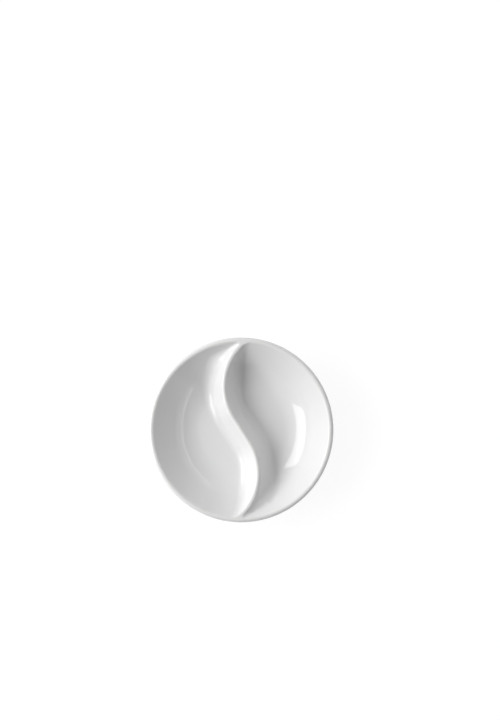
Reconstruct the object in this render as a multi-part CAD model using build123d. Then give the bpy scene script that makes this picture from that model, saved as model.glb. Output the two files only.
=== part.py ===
from build123d import *
import math
import os

# A round serving bowl of white glazed porcelain. One S-shaped wall parts it into two
# comma-shaped compartments, and a foot ring carries it. Sizes are in millimetres and
# angles in degrees. +Z is up, and the origin lies under the middle of the bowl, on the
# surface that the foot ring stands on. Seen from above, the wall is an S when +Y points up.

# Body of the bowl
rim_diameter = 120.0
bowl_height = 28.0
body_thickness = 4.6
lip_radius = 2.0
lip_flat = 0.3
mouth_radius = 1.4
basin_slope = 38.0
basin_knee = 70.0
outside_slope = 39.5
outside_knee = 73.0

# Foot ring
foot_height = 4.0
foot_diameter = 52.0
foot_width = 4.2
foot_taper = 10.0
foot_edge = 0.8
foot_corner = 2.0

# Dividing wall: a straight middle run, then one arc each way out to the rim
crest_straight = 18.0
crest_angle = 57.0
crest_end_angle = 84.5
crest_flat = 0.2
wall_draft = 20.0
wall_corner = 6.0

# Seats in which the wall and the foot ring are stuck to the bowl with slip
seat_depth = 1.0
seat_margin = 1.0
seat_half_width_at_rim = 6.0
slip_thickness = 0.4

# Sharp forms run past the surfaces that trim them by overrun
overrun = 2.0

rim_radius = rim_diameter / 2
floor_height = foot_height + body_thickness
lip_height = bowl_height - lip_radius
mouth_height = bowl_height - mouth_radius


def sine(angle):
    return math.sin(math.radians(angle))


def cosine(angle):
    return math.cos(math.radians(angle))


def tangent(angle):
    return math.tan(math.radians(angle))


def cup_profile(floor, knee, slope, wall_radius, wall_height):
    """Half section of a filled cup: flat floor, round knee, straight wall up to the rim plane.

    The wall passes through the point at wall_radius and wall_height.
    """
    corner = (wall_radius - (wall_height - floor) / tangent(slope), floor)
    mouth = (wall_radius + (bowl_height - wall_height) / tangent(slope), bowl_height)
    outline = FilletPolyline((0, floor), corner, mouth, radius=knee)
    outline += Polyline(mouth, (0, bowl_height), (0, floor))
    return make_face(outline)


def turned(profile):
    """Solid of revolution of a half section drawn in radius and height."""
    return revolve(Plane.XZ * profile, Axis.Z)


def basin(growth=0.0):
    """Space inside the bowl, with its floor and wall moved outwards by growth."""
    reach = mouth_radius - growth
    wall_radius = rim_radius - lip_radius - lip_flat - reach * sine(basin_slope)
    wall_height = mouth_height + reach * cosine(basin_slope)
    return turned(
        cup_profile(floor_height - growth, basin_knee + growth, basin_slope, wall_radius, wall_height)
    )


def outside_profile(shrinkage=0.0):
    """Half section of the bowl as a filled cup, with its outside moved inwards by shrinkage."""
    reach = lip_radius - shrinkage
    wall_radius = rim_radius - lip_radius + reach * sine(outside_slope)
    wall_height = lip_height - reach * cosine(outside_slope)
    return cup_profile(
        foot_height + shrinkage, outside_knee - shrinkage, outside_slope, wall_radius, wall_height
    )


# Foot ring section: as wide as foot_width on the ground and wider upwards
foot_middle = foot_diameter / 2 - foot_width / 2
foot_top = foot_height + body_thickness


def foot_half_width(height):
    return foot_width / 2 + height * tangent(foot_taper)


def on_foot_side(vertex):
    return math.isclose(abs(vertex.X - foot_middle), foot_half_width(vertex.Y), abs_tol=1e-4)


def whole_outside():
    """Filled outside form of bowl and foot ring, with the lip's outer edge and the foot rounded."""
    foot_section = Polyline(
        (foot_middle - foot_half_width(0), 0),
        (foot_middle + foot_half_width(0), 0),
        (foot_middle + foot_half_width(foot_top), foot_top),
        (foot_middle - foot_half_width(foot_top), foot_top),
        close=True,
    )
    profile = outside_profile() + make_face(foot_section)
    rim_corner = profile.vertices().sort_by(Axis.X)[-1]
    profile = fillet(rim_corner, lip_radius)
    foot_vertices = profile.vertices().filter_by(on_foot_side).sort_by(Axis.Y)
    profile = fillet(foot_vertices[2:], foot_corner)
    profile = fillet(profile.vertices().filter_by(on_foot_side).sort_by(Axis.Y)[:2], foot_edge)
    return turned(profile)


# Route of the crest, seen from above: the arc leaves the straight run without a kink
# and meets the rim at crest_end_angle. The other half is the same turned half round.
run_direction = Vector(-cosine(crest_angle), sine(crest_angle))
run_side = Vector(sine(crest_angle), cosine(crest_angle))
run_end = run_direction * (crest_straight / 2)
rim_end = Vector(cosine(crest_end_angle), sine(crest_end_angle)) * rim_radius
chord = rim_end - run_end
arc_radius = chord.dot(chord) / (2 * chord.dot(run_side))
arc_centre = run_end + run_side * arc_radius
arc_sweep = 180 - math.degrees(math.atan2(crest_straight / 2, arc_radius))


def along_crest(section):
    """Bar with a section drawn in width and height along the crest's route, out past the rim."""
    placed = Plane(origin=run_end, x_dir=-run_side, z_dir=run_direction) * section
    run = extrude(placed, amount=crest_straight, dir=-run_direction)
    bend = revolve(placed, Axis(arc_centre, (0, 0, -1)), arc_sweep)
    return run + bend + bend.rotate(Axis.Z, 180)


# Half widths of the wall before its crest is rounded, and with the round corner at its foot
crest_half_width = mouth_radius * tangent((90 - wall_draft) / 2) + crest_flat / 2
wall_corner_reach = wall_corner * tangent((90 - wall_draft) / 2)


def wall_half_width(height):
    return crest_half_width + (bowl_height - height) * tangent(wall_draft)


def wall_section():
    top = bowl_height + overrun
    bottom = floor_height - overrun
    half_bottom = wall_half_width(bottom)
    half_top = wall_half_width(top)
    return make_face(
        Polyline((-half_bottom, bottom), (half_bottom, bottom), (half_top, top), (-half_top, top), close=True)
    )


def seat_section():
    """Section of the space that the wall's foot and ends are let into."""
    seat_half_width = wall_half_width(floor_height) + wall_corner_reach + seat_margin
    spread = (seat_half_width - seat_half_width_at_rim) / (bowl_height - floor_height)
    top = bowl_height + overrun
    bottom = floor_height - body_thickness
    half_bottom = seat_half_width_at_rim + (bowl_height - bottom) * spread
    half_top = seat_half_width_at_rim - overrun * spread
    return make_face(
        Polyline((-half_bottom, bottom), (half_bottom, bottom), (half_top, top), (-half_top, top), close=True)
    )


def in_rim_plane(edge):
    return all(math.isclose((edge @ place).Z, bowl_height, abs_tol=1e-4) for place in (0, 0.5, 1))


def inside_lip(edge):
    middle = edge @ 0.5
    return math.hypot(middle.X, middle.Y) < rim_radius - lip_radius - lip_flat / 2


def compartment():
    """Space of one compartment, with a round corner all along the foot and ends of the wall."""
    bowl_space = basin()
    wall = along_crest(wall_section())
    space = (bowl_space - wall).solids().sort_by(Axis.X)[0]
    corners = [edge for edge in new_edges(bowl_space, wall, combined=space) if not in_rim_plane(edge)]
    return space.fillet(wall_corner, corners)


def whole_bowl():
    """Bowl, wall and foot ring in one, with the crest and the inside of the lip rounded alike."""
    space = compartment()
    bowl = (whole_outside() - space - space.rotate(Axis.Z, 180)).solid()
    mouths = bowl.edges().filter_by(in_rim_plane).filter_by(inside_lip)
    return bowl.fillet(mouth_radius, mouths)


bowl = whole_bowl()

# The wall stands in a shallow seat in the floor and the lip, on a bed of slip
wall_seat = along_crest(seat_section())
wall_space = wall_seat & basin(seat_depth)
wall_seat_space = wall_seat & basin(seat_depth + slip_thickness)
divider_wall = bowl & wall_space
divider_slip = bowl & (wall_seat_space - wall_space)

# The foot ring stands in a shallow seat under the bowl, on a bed of slip
foot_reach = foot_half_width(foot_top) + foot_corner + seat_margin
foot_band = turned(Pos(foot_middle, foot_top / 2) * Rectangle(2 * foot_reach, foot_top + 2 * overrun))
foot_seat_top = turned(outside_profile(seat_depth + slip_thickness))
foot_ring_top = turned(outside_profile(seat_depth))
foot_ring = (bowl & foot_band) - foot_ring_top
foot_slip = (foot_band & foot_ring_top) - foot_seat_top

bowl_shell = bowl - wall_seat_space - (foot_band - foot_seat_top)

os.makedirs("parts", exist_ok=True)
nodes = {
    "bowl_shell": bowl_shell,
    "divider_wall": divider_wall,
    "divider_slip": divider_slip,
    "foot_ring": foot_ring,
    "foot_slip": foot_slip,
}
for name, shape in nodes.items():
    export_step(shape, f"parts/{name}.step")
    print(name, len(shape.solids()), round(shape.volume, 1))
print("whole bowl", round(bowl.volume, 1))
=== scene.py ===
import bpy
import math
import numpy as np
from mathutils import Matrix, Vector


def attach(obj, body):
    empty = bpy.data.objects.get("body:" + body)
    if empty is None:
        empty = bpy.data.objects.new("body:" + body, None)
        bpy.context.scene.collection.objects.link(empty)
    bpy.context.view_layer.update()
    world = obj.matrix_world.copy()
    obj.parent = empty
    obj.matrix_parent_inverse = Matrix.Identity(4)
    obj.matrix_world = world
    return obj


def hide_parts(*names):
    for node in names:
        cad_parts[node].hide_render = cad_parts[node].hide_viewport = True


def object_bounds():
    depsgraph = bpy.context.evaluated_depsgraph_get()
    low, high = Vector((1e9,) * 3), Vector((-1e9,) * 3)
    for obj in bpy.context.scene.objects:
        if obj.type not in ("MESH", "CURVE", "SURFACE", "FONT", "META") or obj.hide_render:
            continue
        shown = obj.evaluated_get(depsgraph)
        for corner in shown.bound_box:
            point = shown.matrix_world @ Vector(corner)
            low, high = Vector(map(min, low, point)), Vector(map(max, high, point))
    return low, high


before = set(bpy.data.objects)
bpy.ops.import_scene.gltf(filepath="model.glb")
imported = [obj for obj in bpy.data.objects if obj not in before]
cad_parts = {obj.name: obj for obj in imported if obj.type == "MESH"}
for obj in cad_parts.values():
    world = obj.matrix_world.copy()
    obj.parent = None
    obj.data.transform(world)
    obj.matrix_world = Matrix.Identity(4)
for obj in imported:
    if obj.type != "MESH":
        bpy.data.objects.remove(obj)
cad_low, cad_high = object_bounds()

# Bowl shell: a round bowl of white porcelain, pressed in a mould, turned smooth at the lip
# and dipped in clear glaze. Everything else on the object is stuck to it and fired with it.
# Lengths are in millimetres and angles in degrees, here and in the sections below.
MM = 0.001
rim_radius = (cad_high.x - cad_low.x) / 2 / MM
bowl_height = cad_high.z / MM
foot_height = 4.0
floor_height = 11.0
lip_radius = 2.0
lip_flat = 0.3
crest_edge = 1.4
lip_inner_edge = 2.2
basin_slope = 40.0
basin_knee = 28.0
outside_slope = 39.5
outside_knee = 73.0

# Glaze: sizes of what varies in it, its colours and its range of roughness
cloud_size = 25.0
cloud_colours = ("#EFEFEE", "#EEEEEF")
thin_glaze_band = 1.2
thin_glaze_share = 0.35
thin_glaze_colour = "#F1F0EE"
speck_spacing = 7.0
speck_core = 0.084
speck_edge = 0.21
cells_without_speck = 0.82
speck_strength = 0.4
speck_colour = "#B9AFA0"
ripple_size = 13.0
ripple_depth = 0.05
peel_size = 1.6
peel_depth = 0.002
glaze_roughness = (0.02, 0.045)
glaze_ior = 1.5

# Fineness of turned meshes, and the circle that a section is swept round
knee_steps = 40
turn_steps = 320
hub_radius = 30.0
weld_distance = 0.005


def sine(angle):
    return math.sin(math.radians(angle))


def cosine(angle):
    return math.cos(math.radians(angle))


def tangent(angle):
    return math.tan(math.radians(angle))


def linear(colour):
    """sRGB hex colour as linear RGB with alpha."""
    parts = [int(colour[i:i + 2], 16) / 255 for i in (1, 3, 5)]
    return [p / 12.92 if p <= 0.04045 else ((p + 0.055) / 1.055) ** 2.4 for p in parts] + [1.0]


def add(tree, kind, links=None, **settings):
    """Adds a node. Settings are its own properties, and links set or connect its sockets."""
    node = tree.nodes.new(kind)
    for name, value in settings.items():
        setattr(node, name, value)
    for name, value in (links or {}).items():
        socket = node.inputs[name]
        if isinstance(value, bpy.types.NodeSocket):
            tree.links.new(value, socket)
        else:
            socket.default_value = value
    return node


def blank_material(name):
    """New material without nodes, and its node tree."""
    material = bpy.data.materials.new(name)
    material.use_nodes = True
    material.node_tree.nodes.clear()
    return material, material.node_tree


def glaze_shader(tree):
    """Clear gloss glaze over white porcelain, as a shader with the nodes that vary it."""
    place = add(tree, "ShaderNodeTexCoord").outputs["Object"]
    # Cloudy body: the porcelain shows through the glaze a little warmer and cooler from place to place
    cloud = add(tree, "ShaderNodeTexNoise", {"Vector": place, "Scale": 1 / (cloud_size * MM), "Detail": 2.0})
    body = add(
        tree,
        "ShaderNodeMix",
        {"Factor": cloud.outputs["Fac"], 6: linear(cloud_colours[0]), 7: linear(cloud_colours[1])},
        data_type="RGBA",
    )
    # Thin edges: the glaze runs off the lip and the crest, which lets the creamy body through
    height = add(tree, "ShaderNodeSeparateXYZ", {0: place}).outputs["Z"]
    thin = add(
        tree,
        "ShaderNodeMapRange",
        {
            "Value": height,
            "From Min": (bowl_height - thin_glaze_band) * MM,
            "From Max": bowl_height * MM,
            "To Max": thin_glaze_share,
        },
    )
    edged = add(
        tree,
        "ShaderNodeMix",
        {"Factor": thin.outputs["Result"], 6: body.outputs[2], 7: linear(thin_glaze_colour)},
        data_type="RGBA",
    )
    # Specks: a few pinpoints of iron in the clay
    cells = add(tree, "ShaderNodeTexVoronoi", {"Vector": place, "Scale": 1 / (speck_spacing * MM)})
    dot = add(
        tree,
        "ShaderNodeMapRange",
        {
            "Value": cells.outputs["Distance"],
            "From Min": speck_core / speck_spacing,
            "From Max": speck_edge / speck_spacing,
            "To Min": 1.0,
            "To Max": 0.0,
        },
    )
    chosen = add(
        tree, "ShaderNodeMath", {0: cells.outputs["Color"], 1: cells_without_speck}, operation="GREATER_THAN"
    )
    speck = add(
        tree, "ShaderNodeMath", {0: dot.outputs["Result"], 1: chosen.outputs[0]}, operation="MULTIPLY"
    )
    faint = add(tree, "ShaderNodeMath", {0: speck.outputs[0], 1: speck_strength}, operation="MULTIPLY")
    colour = add(
        tree,
        "ShaderNodeMix",
        {"Factor": faint.outputs[0], 6: edged.outputs[2], 7: linear(speck_colour)},
        data_type="RGBA",
    )
    # Ripple: the fired glaze is never quite flat, so reflections have slightly uneven borders
    wave = add(tree, "ShaderNodeTexNoise", {"Vector": place, "Scale": 1 / (ripple_size * MM), "Detail": 0.0})
    peel = add(tree, "ShaderNodeTexNoise", {"Vector": place, "Scale": 1 / (peel_size * MM), "Detail": 1.0})
    waved = add(tree, "ShaderNodeBump", {"Height": wave.outputs["Fac"], "Distance": ripple_depth * MM})
    rippled = add(
        tree,
        "ShaderNodeBump",
        {"Height": peel.outputs["Fac"], "Distance": peel_depth * MM, "Normal": waved.outputs["Normal"]},
    )
    # Gloss: almost a mirror, a touch duller where the glaze is clouded
    gloss = add(
        tree,
        "ShaderNodeMapRange",
        {"Value": cloud.outputs["Fac"], "To Min": glaze_roughness[0], "To Max": glaze_roughness[1]},
    )
    return add(
        tree,
        "ShaderNodeBsdfPrincipled",
        {
            "Base Color": colour.outputs[2],
            "Roughness": gloss.outputs["Result"],
            "IOR": glaze_ior,
            "Normal": rippled.outputs["Normal"],
        },
    )


def glazed_porcelain():
    """White porcelain under a clear gloss glaze, which gives sharp highlights on a soft white."""
    material, tree = blank_material("glazed_porcelain")
    add(tree, "ShaderNodeOutputMaterial", {"Surface": glaze_shader(tree).outputs[0]})
    return material


glaze = glazed_porcelain()


def turning_tree():
    """Turns a half section, drawn as a curve with a rounding radius at each point, about Z."""
    tree = bpy.data.node_groups.new("turned_piece", "GeometryNodeTree")
    face = tree.interface
    face.new_socket("Section", in_out="INPUT", socket_type="NodeSocketGeometry")
    face.new_socket("Steps round", in_out="INPUT", socket_type="NodeSocketInt")
    face.new_socket("Steps in a corner", in_out="INPUT", socket_type="NodeSocketInt")
    face.new_socket("Material", in_out="INPUT", socket_type="NodeSocketMaterial")
    face.new_socket("Piece", in_out="OUTPUT", socket_type="NodeSocketGeometry")
    given = add(tree, "NodeGroupInput")
    radius = add(tree, "GeometryNodeInputRadius")
    rounded = add(
        tree,
        "GeometryNodeFilletCurve",
        {
            "Curve": given.outputs["Section"],
            "Count": given.outputs["Steps in a corner"],
            "Radius": radius.outputs["Radius"],
        },
        mode="POLY",
    )
    circle = add(
        tree,
        "GeometryNodeCurvePrimitiveCircle",
        {"Resolution": given.outputs["Steps round"], "Radius": hub_radius * MM},
        mode="RADIUS",
    )
    moved = add(
        tree,
        "GeometryNodeTransform",
        {"Geometry": rounded.outputs["Curve"], "Translation": (-hub_radius * MM, 0, 0)},
    )
    swept = add(
        tree,
        "GeometryNodeCurveToMesh",
        {"Curve": circle.outputs["Curve"], "Profile Curve": moved.outputs["Geometry"]},
    )
    merged = add(
        tree,
        "GeometryNodeMergeByDistance",
        {"Geometry": swept.outputs["Mesh"], "Distance": weld_distance * MM},
    )
    smooth = add(tree, "GeometryNodeSetShadeSmooth", {"Geometry": merged.outputs["Geometry"]})
    real = add(tree, "GeometryNodeRealizeInstances", {"Geometry": smooth.outputs["Geometry"]})
    painted = add(
        tree,
        "GeometryNodeSetMaterial",
        {"Geometry": real.outputs["Geometry"], "Material": given.outputs["Material"]},
    )
    add(tree, "NodeGroupOutput", {"Piece": painted.outputs["Geometry"]})
    return tree


turning = turning_tree()


def turned(name, corners, closed, material):
    """Piece turned from corners given as radius, height and rounding."""
    curve = bpy.data.curves.new(name + "_section", "CURVE")
    curve.dimensions = "3D"
    spline = curve.splines.new("POLY")
    spline.points.add(len(corners) - 1)
    for point, (radius, height, rounding) in zip(spline.points, reversed(corners)):
        point.co = (radius * MM, -height * MM, 0, 1)
        point.radius = rounding * MM
    spline.use_cyclic_u = closed
    maker = bpy.data.objects.new(name + "_section", curve)
    bpy.context.collection.objects.link(maker)
    modifier = maker.modifiers.new("turning", "NODES")
    modifier.node_group = turning
    sockets = {item.name: item.identifier for item in turning.interface.items_tree if item.in_out == "INPUT"}
    modifier[sockets["Steps round"]] = turn_steps
    modifier[sockets["Steps in a corner"]] = knee_steps
    modifier[sockets["Material"]] = material
    evaluated = maker.evaluated_get(bpy.context.evaluated_depsgraph_get())
    mesh = bpy.data.meshes.new_from_object(evaluated)
    mesh.name = name
    maker.modifiers.remove(modifier)
    bpy.data.objects.remove(maker)
    piece = bpy.data.objects.new(name, mesh)
    bpy.context.collection.objects.link(piece)
    return piece


def wall_foot(floor, slope, wall_radius, wall_height):
    """Radius where a sloping wall, drawn on without its knee, meets the floor."""
    return wall_radius - (wall_height - floor) / tangent(slope)


inner_wall = (
    rim_radius - lip_radius - lip_flat - crest_edge * sine(basin_slope),
    bowl_height - crest_edge + crest_edge * cosine(basin_slope),
)
outer_wall = (
    rim_radius - lip_radius + lip_radius * sine(outside_slope),
    bowl_height - lip_radius - lip_radius * cosine(outside_slope),
)
inner_mouth = inner_wall[0] + (bowl_height - inner_wall[1]) / tangent(basin_slope)
outer_mouth = outer_wall[0] + (bowl_height - outer_wall[1]) / tangent(outside_slope)
shell_section = [
    (0, foot_height, 0),
    (wall_foot(foot_height, outside_slope, *outer_wall), foot_height, outside_knee),
    (outer_mouth, bowl_height, lip_radius),
    (inner_mouth, bowl_height, lip_inner_edge),
    (wall_foot(floor_height, basin_slope, *inner_wall), floor_height, basin_knee),
    (0, floor_height, 0),
]
shell = turned("porcelain_shell", shell_section, False, glaze)
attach(shell, "root")
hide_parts("bowl_shell")

# Foot ring: a ring of the same porcelain, thrown on under the bowl and joined with slip.
# Its sides are glazed, and its standing face is wiped bare so that it doesn't stick in the kiln.
foot_diameter = 52.0
foot_width = 4.2
foot_taper = 10.0
foot_edge = 0.8
foot_corner = 2.0
foot_feather = 2.6
foot_sink = 1.0
slope_probe = 0.01
foot_middle = foot_diameter / 2 - foot_width / 2
underside_corner = wall_foot(foot_height, outside_slope, *outer_wall)
underside_flat = underside_corner - outside_knee * tangent(outside_slope / 2)

# Bare clay: height of the wiped line and how it wanders, and the clay's grain, colours and roughness
wiped_height = 0.15
wander_height = 0.5
wander_size = 6.0
grain_size = 0.4
grain_depth = 0.02
clay_colours = ("#EAE4DA", "#D6CFC4")
clay_roughness = 0.8


def underside(radius):
    """Height of the bowl's underside."""
    out = max(radius - underside_flat, 0)
    return foot_height + outside_knee - math.sqrt(outside_knee ** 2 - out ** 2)


def foot_root(side):
    """Corner where a side of the ring meets the bowl, and the end of the slip smoothed out beyond it."""
    half_top = foot_width / 2 + foot_height * tangent(foot_taper)
    end = foot_middle + side * (half_top + foot_feather)
    fall = (underside(end + slope_probe) - underside(end - slope_probe)) / (2 * slope_probe)
    lean = side * tangent(foot_taper)
    ground = foot_middle + side * foot_width / 2
    height = (underside(end) + fall * (ground - end)) / (1 - fall * lean)
    corner = (ground + lean * height, height, foot_corner)
    return corner, (end, underside(end), 0), (end, underside(end) + foot_sink, 0)


def bare_foot_porcelain():
    """Glazed sides, and a standing face that is wiped bare: matt, creamy and finely grained."""
    material, tree = blank_material("bare_foot_porcelain")
    place = add(tree, "ShaderNodeTexCoord").outputs["Object"]
    height = add(tree, "ShaderNodeSeparateXYZ", {0: place}).outputs["Z"]
    # Wiped line: the border between glaze and bare clay wanders a little round the ring
    wander = add(
        tree, "ShaderNodeTexNoise", {"Vector": place, "Scale": 1 / (wander_size * MM), "Detail": 1.0}
    )
    border = add(
        tree,
        "ShaderNodeMath",
        {0: wander.outputs["Fac"], 1: wander_height * MM, 2: wiped_height * MM},
        operation="MULTIPLY_ADD",
    )
    bare = add(tree, "ShaderNodeMath", {0: height, 1: border.outputs[0]}, operation="LESS_THAN")
    # Grain: bare fired clay shows fine sand and a greyer scuff where it has stood
    grain = add(tree, "ShaderNodeTexNoise", {"Vector": place, "Scale": 1 / (grain_size * MM), "Detail": 3.0})
    clay = add(
        tree,
        "ShaderNodeMix",
        {"Factor": grain.outputs["Fac"], 6: linear(clay_colours[0]), 7: linear(clay_colours[1])},
        data_type="RGBA",
    )
    sanded = add(tree, "ShaderNodeBump", {"Height": grain.outputs["Fac"], "Distance": grain_depth * MM})
    matt = add(
        tree,
        "ShaderNodeBsdfPrincipled",
        {"Base Color": clay.outputs[2], "Roughness": clay_roughness, "Normal": sanded.outputs["Normal"]},
    )
    glazed = glaze_shader(tree)
    both = add(tree, "ShaderNodeMixShader", {0: bare.outputs[0], 1: glazed.outputs[0], 2: matt.outputs[0]})
    add(tree, "ShaderNodeOutputMaterial", {"Surface": both.outputs[0]})
    return material


inner_root, inner_end, inner_sunk = foot_root(-1)
outer_root, outer_end, outer_sunk = foot_root(1)
foot_section = [
    (foot_middle - foot_width / 2, 0, foot_edge),
    (foot_middle + foot_width / 2, 0, foot_edge),
    outer_root,
    outer_end,
    outer_sunk,
    inner_sunk,
    inner_end,
    inner_root,
]
foot = turned("foot_ring_porcelain", foot_section, True, bare_foot_porcelain())
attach(foot, "root")
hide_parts("foot_ring", "foot_slip")

# Dividing wall: cast by itself from the same porcelain with drafted faces, then set on the soft
# bowl with slip. The corner at its foot is smoothed with a ball-ended tool, and its crest is wiped
# to a round edge before the whole bowl is glazed.
crest_straight = 18.0
crest_angle = 57.0
crest_end_angle = 84.5
crest_flat = 0.2
wall_draft = 22.5
wall_corner = 8.0
seat_depth = 1.0

# Narrow tails of the compartments: there the face leans further and the ball is smaller
least_drop = 0.1
tail_most_lean = 1.0
tail_drop = 7.0
tail_corner_least = 2.2

# Mesh: rows across the crest and lines along it, close together where the crest is round. The
# surface stands a hair proud of the shell and dips under it over a margin at its borders.
row_step = 0.45
lines_on_crest = [0.15 * i for i in range(10)]
lines_by_crest = [1.6, 1.9, 2.3, 2.8]
line_step = 0.55
widest = 24.0
proud = 0.015
sunk = -0.03
margin = 0.8
border_probe = 0.05
least_gain = 2e-4
normal_probe = 0.004
halvings = 32
tiny = 1e-9
least_corner = 1e-6

run_direction = np.array([-cosine(crest_angle), sine(crest_angle)])
run_side = np.array([sine(crest_angle), cosine(crest_angle)])
rim_end = rim_radius * np.array([cosine(crest_end_angle), sine(crest_end_angle)])
chord = rim_end - run_direction * crest_straight / 2
arc_radius = chord @ chord / (2 * chord @ run_side)
arc_centre = run_direction * crest_straight / 2 + run_side * arc_radius
knee_centre = wall_foot(floor_height, basin_slope, *inner_wall) - basin_knee * tangent(basin_slope / 2)
crest_half_width = crest_edge * tangent((90 - wall_draft) / 2) + crest_flat / 2
wall_reach = crest_half_width + (bowl_height - floor_height) * tangent(wall_draft)


def crest_places(along, across):
    """Points at distances along the crest and across it, and the plan direction across."""
    bend = np.maximum(np.abs(along) - crest_straight / 2, 0) / arc_radius
    away = np.cos(bend)[:, None] * run_side - np.sin(bend)[:, None] * run_direction
    straight = np.minimum(np.abs(along) - crest_straight / 2, 0)[:, None] * run_direction
    middle = np.sign(along)[:, None] * (arc_centre - arc_radius * away + straight)
    return middle + across[:, None] * away, away


def basin_height(radius):
    """Height of the bowl's inside, before its lip is rounded."""
    out = np.clip(radius - knee_centre, 0, basin_knee * sine(basin_slope))
    knee = floor_height + basin_knee - np.sqrt(basin_knee ** 2 - out ** 2)
    beyond = np.maximum(radius - knee_centre - out, 0)
    return np.minimum(knee + beyond * tangent(basin_slope), bowl_height)


def wall_shape(along, across):
    """Lean of the wall's face for each unit down, and the ball that smooths its foot."""
    foot_place, _ = crest_places(along, np.sign(across) * wall_reach)
    foot_radius = np.hypot(foot_place[:, 0], foot_place[:, 1])
    drop = np.maximum(bowl_height - basin_height(foot_radius), least_drop)
    tail_lean = np.minimum((wall_reach - crest_half_width) / drop, tail_most_lean)
    tail_corner = np.clip(wall_corner * drop / tail_drop, tail_corner_least, wall_corner)
    in_tail = along * across < 0
    lean = np.where(in_tail, tail_lean, tangent(wall_draft))
    return lean, np.where(in_tail, tail_corner, wall_corner)


def bowl_lining(radius, height):
    """Depth under the bowl's inside, and the direction into the clay, outwards and down."""
    out = radius - knee_centre
    up = height - floor_height - basin_knee
    turn = np.clip(np.arctan2(out, -up), 0, math.radians(basin_slope))
    return out * np.sin(turn) - up * np.cos(turn) - basin_knee, np.sin(turn), -np.cos(turn)


def ball_round(first, second, between, ball):
    """Distance past a corner that a ball has rounded, from the distances past its two sides.

    The cosine of the angle between the sides' normals is given. The shares are the parts of the
    two normals in the rounded surface's own.
    """
    a = first + ball
    b = second + ball
    flat = 1 - between ** 2
    reach = np.sqrt(np.maximum(a * a + b * b - 2 * a * b * between, 0) / np.maximum(flat, tiny))
    in_corner = (a > between * b) & (b > between * a) & (flat > least_corner)
    scale = np.maximum(reach * flat, tiny)
    first_share = np.where(in_corner, (a - b * between) / scale, first >= second)
    second_share = np.where(in_corner, (b - a * between) / scale, first < second)
    return np.where(in_corner, reach - ball, np.maximum(first, second)), first_share, second_share


def clay_depth(place, height, along, across, away, with_wall=True):
    """Depth in the clay of bowl and wall, with the corner and the edges at the rim rounded."""
    radius = np.hypot(place[:, 0], place[:, 1])
    depth, bowl_out, bowl_down = bowl_lining(radius, height)
    rise = bowl_down
    edge = lip_inner_edge
    if with_wall:
        lean, corner = wall_shape(along, across)
        upright = 1 / np.sqrt(1 + lean ** 2)
        wall_depth = (crest_half_width + (bowl_height - height) * lean - np.abs(across)) * upright
        facing = (place * away).sum(1) / np.maximum(radius, tiny) * -np.sign(across)
        between = bowl_out * upright * facing - bowl_down * lean * upright
        depth, bowl_share, wall_share = ball_round(depth, wall_depth, between, corner)
        rise = bowl_share * bowl_down - wall_share * lean * upright
        edge = (bowl_share * lip_inner_edge + wall_share * crest_edge) / (bowl_share + wall_share)
    rounded, _, _ = ball_round(-depth, height - bowl_height, -rise, edge)
    return -rounded


def clay_height(place, along, across, away, with_wall=True):
    """Height of the clay's surface, found by halving."""
    low = np.full(len(place), foot_height)
    high = np.full(len(place), bowl_height)
    for _ in range(halvings):
        middle = (low + high) / 2
        inside = clay_depth(place, middle, along, across, away, with_wall) > 0
        low = np.where(inside, middle, low)
        high = np.where(inside, high, middle)
    return (low + high) / 2


def clay_normals(place, height, along, across, away):
    """Directions out of the clay at its surface."""
    step = normal_probe
    forward = np.stack([-away[:, 1], away[:, 0]], 1)
    slopes = []
    for axis in range(2):
        shift = np.zeros(2)
        shift[axis] = step
        on = along + forward[:, axis] * step
        back = along - forward[:, axis] * step
        ahead = clay_depth(place + shift, height, on, across + away[:, axis] * step, away)
        behind = clay_depth(place - shift, height, back, across - away[:, axis] * step, away)
        slopes.append(behind - ahead)
    above = clay_depth(place, height + step, along, across, away)
    below = clay_depth(place, height - step, along, across, away)
    slopes.append(below - above)
    directions = np.stack(slopes, 1)
    return directions / np.linalg.norm(directions, axis=1)[:, None]


far_lines = list(np.arange(lines_by_crest[-1] + line_step, widest, line_step))
half_lines = np.array(lines_on_crest + lines_by_crest + far_lines)
lines = np.concatenate([-half_lines[:0:-1], half_lines])
crest_reach = crest_straight / 2 + arc_radius * 2 * math.asin(np.linalg.norm(chord) / (2 * arc_radius))
row_count = int(crest_reach / row_step)
rows = np.arange(-row_count, row_count + 1) * row_step
probe = np.arange(-widest, widest, border_probe)
points = []
normals = []
floors = []
index = {}
grid = []
for distance in rows:
    along = np.full(len(probe), distance)
    place, away = crest_places(along, probe)
    gain = clay_height(place, along, probe, away) - clay_height(place, along, probe, away, False)
    raised = (gain > least_gain) & (np.hypot(place[:, 0], place[:, 1]) < rim_radius)
    if not raised.any():
        continue
    first = probe[raised].min()
    last = probe[raised].max()
    across = np.clip(lines, first - margin, last + margin)
    along = np.full(len(lines), distance)
    place, away = crest_places(along, across)
    top = clay_height(place, along, across, away)
    bare = clay_height(place, along, across, away, False)
    outward = clay_normals(place, top, along, across, away)
    inset = np.clip(np.minimum(across - first, last - across) / margin + 1, 0, 1)
    lift = sunk + (proud - sunk) * inset * inset * (3 - 2 * inset)
    row = []
    for i in range(len(lines)):
        key = (round(distance, 4), round(across[i], 6))
        if key not in index:
            index[key] = len(points)
            points.append((place[i, 0], place[i, 1], top[i] + lift[i]))
            normals.append(outward[i])
            floors.append((place[i, 0], place[i, 1], bare[i] - seat_depth))
        row.append(index[key])
    grid.append(row)

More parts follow.
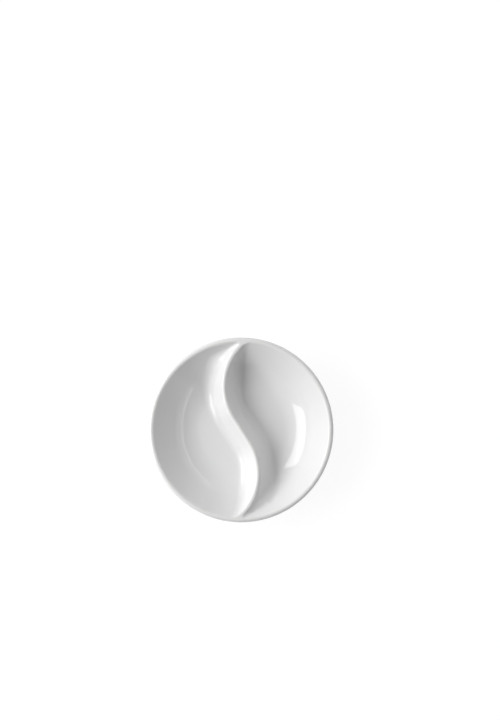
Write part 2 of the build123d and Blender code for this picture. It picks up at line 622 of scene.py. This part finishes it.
# The underside repeats the surface on the floor of the wall's seat, and a skirt closes the border
faces = []
for lower, upper in zip(grid, grid[1:]):
    for i in range(len(lines) - 1):
        loop = list(dict.fromkeys([lower[i], lower[i + 1], upper[i + 1], upper[i]]))
        if len(loop) > 2:
            faces.append(loop)
sides = {}
for loop in faces:
    for start, end in zip(loop, loop[1:] + loop[:1]):
        sides[(start, end)] = True
count = len(points)
skirt = [[end, start, start + count, end + count] for start, end in sides if (end, start) not in sides]
under = [[i + count for i in reversed(loop)] for loop in faces]
mesh = bpy.data.meshes.new("dividing_wall")
mesh.from_pydata((np.array(points + floors) * MM).tolist(), [], faces + skirt + under)
mesh.materials.append(glaze)
mesh.polygons.foreach_set("use_smooth", [True] * len(mesh.polygons))
mesh.normals_split_custom_set_from_vertices([tuple(n) for n in normals] + [(0, 0, 0)] * count)
wall = bpy.data.objects.new("dividing_wall", mesh)
bpy.context.collection.objects.link(wall)
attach(wall, "root")
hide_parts("divider_wall", "divider_slip")

# Studio: a pale floor that keeps a faint shadow, a softbox at the left, a pale card at the right
# that is lighter towards its top edge, and a room that is brightest low on the left. Lengths are
# in metres, and a level of 1 is white.
floor_size = 6.0
floor_glow = 0.9
floor_shade = "#707070"
floor_colour = "#F2F2F2"
white = "#FFFFFF"
softbox_level = 4.1
softbox_distance = 1.2
softbox_azimuth = 5.0
softbox_elevation = 39.5
softbox_size = (0.6, 1.05)
card_distance = 0.9
card_azimuth = 10.0
card_width = 2.4
card_bands = [(0.0, 0.45, 0.5), (0.45, 0.78, 0.85), (0.78, 0.95, 1.8)]
room_level = 1.26
room_azimuth = 15.0
room_elevation = 14.0


def pale_floor():
    """Floor that looks white, with the faint shade of what stands on it, and lights as pale paper."""
    material, tree = blank_material("pale_floor")
    path = add(tree, "ShaderNodeLightPath").outputs
    direct = add(
        tree, "ShaderNodeMath", {0: path["Is Camera Ray"], 1: path["Is Glossy Ray"]}, operation="MAXIMUM"
    )
    seen = add(
        tree, "ShaderNodeMath", {0: direct.outputs[0], 1: path["Is Transmission Ray"]}, operation="MAXIMUM"
    )
    glow = add(tree, "ShaderNodeEmission", {"Color": linear(white), "Strength": floor_glow})
    shade = add(tree, "ShaderNodeBsdfDiffuse", {"Color": linear(floor_shade)})
    shown = add(tree, "ShaderNodeAddShader", {0: glow.outputs[0], 1: shade.outputs[0]})
    plain = add(tree, "ShaderNodeBsdfDiffuse", {"Color": linear(floor_colour)})
    mixed = add(tree, "ShaderNodeMixShader", {0: seen.outputs[0], 1: plain.outputs[0], 2: shown.outputs[0]})
    add(tree, "ShaderNodeOutputMaterial", {"Surface": mixed.outputs[0]})
    return material


bpy.ops.mesh.primitive_plane_add(size=floor_size)
floor = bpy.context.object
floor.name = "floor"
floor.data.materials.append(pale_floor())


def direction(azimuth, elevation):
    """Direction towards the left side of the room, turned by an azimuth and raised by an elevation."""
    return (-cosine(elevation) * cosine(azimuth), cosine(elevation) * sine(azimuth), sine(elevation))


def soft_panel(name, centre, size, turn, level):
    """Rectangular lamp that faces down before it is turned, as bright as a surface of that level."""
    lamp = bpy.data.lights.new(name, "AREA")
    lamp.shape = "RECTANGLE"
    lamp.size, lamp.size_y = size
    lamp.energy = level * math.pi * lamp.size * lamp.size_y
    panel = bpy.data.objects.new(name, lamp)
    panel.location = centre
    panel.rotation_euler = [math.radians(angle) for angle in turn]
    bpy.context.collection.objects.link(panel)


softbox_centre = [softbox_distance * part for part in direction(softbox_azimuth, softbox_elevation)]
softbox_turn = (0, softbox_elevation - 90, -softbox_azimuth)
soft_panel("softbox", softbox_centre, softbox_size, softbox_turn, softbox_level)
card_place = (card_distance * cosine(card_azimuth), card_distance * sine(card_azimuth))
card_turn = (0, 90, card_azimuth)
for low, high, level in card_bands:
    soft_panel("card", (*card_place, (low + high) / 2), (high - low, card_width), card_turn, level)

room = bpy.data.worlds.new("room")
room.use_nodes = True
tree = room.node_tree
view = add(tree, "ShaderNodeTexCoord").outputs["Object"]
bright_side = direction(room_azimuth, room_elevation)
towards = add(tree, "ShaderNodeVectorMath", {0: view, 1: bright_side}, operation="DOT_PRODUCT")
lit = add(tree, "ShaderNodeMath", {0: towards.outputs["Value"], 1: 0.0}, operation="MAXIMUM")
light = add(tree, "ShaderNodeMath", {0: lit.outputs[0], 1: room_level}, operation="MULTIPLY")
background = tree.nodes["Background"]
background.inputs["Color"].default_value = linear(white)
tree.links.new(light.outputs[0], background.inputs["Strength"])
bpy.context.scene.world = room

# Camera: straight above, with the bowl a little left of the middle of the frame and below it.
# The bowl's rim is as many frame pixels across as in the photo.
camera_height = 1.2
camera_lens = 92.6
rim_pixels = 185.2
pixels_left = 9
pixels_below = 70
frame_pixel = 2 * rim_radius * MM / rim_pixels
camera_data = bpy.data.cameras.new("camera")
camera_data.lens = camera_lens
camera = bpy.data.objects.new("camera", camera_data)
camera.location = (
    pixels_left * frame_pixel,
    pixels_below * frame_pixel,
    bowl_height * MM + camera_height,
)
bpy.context.collection.objects.link(camera)
bpy.context.scene.camera = camera
bpy.context.scene.view_settings.view_transform = "Standard"
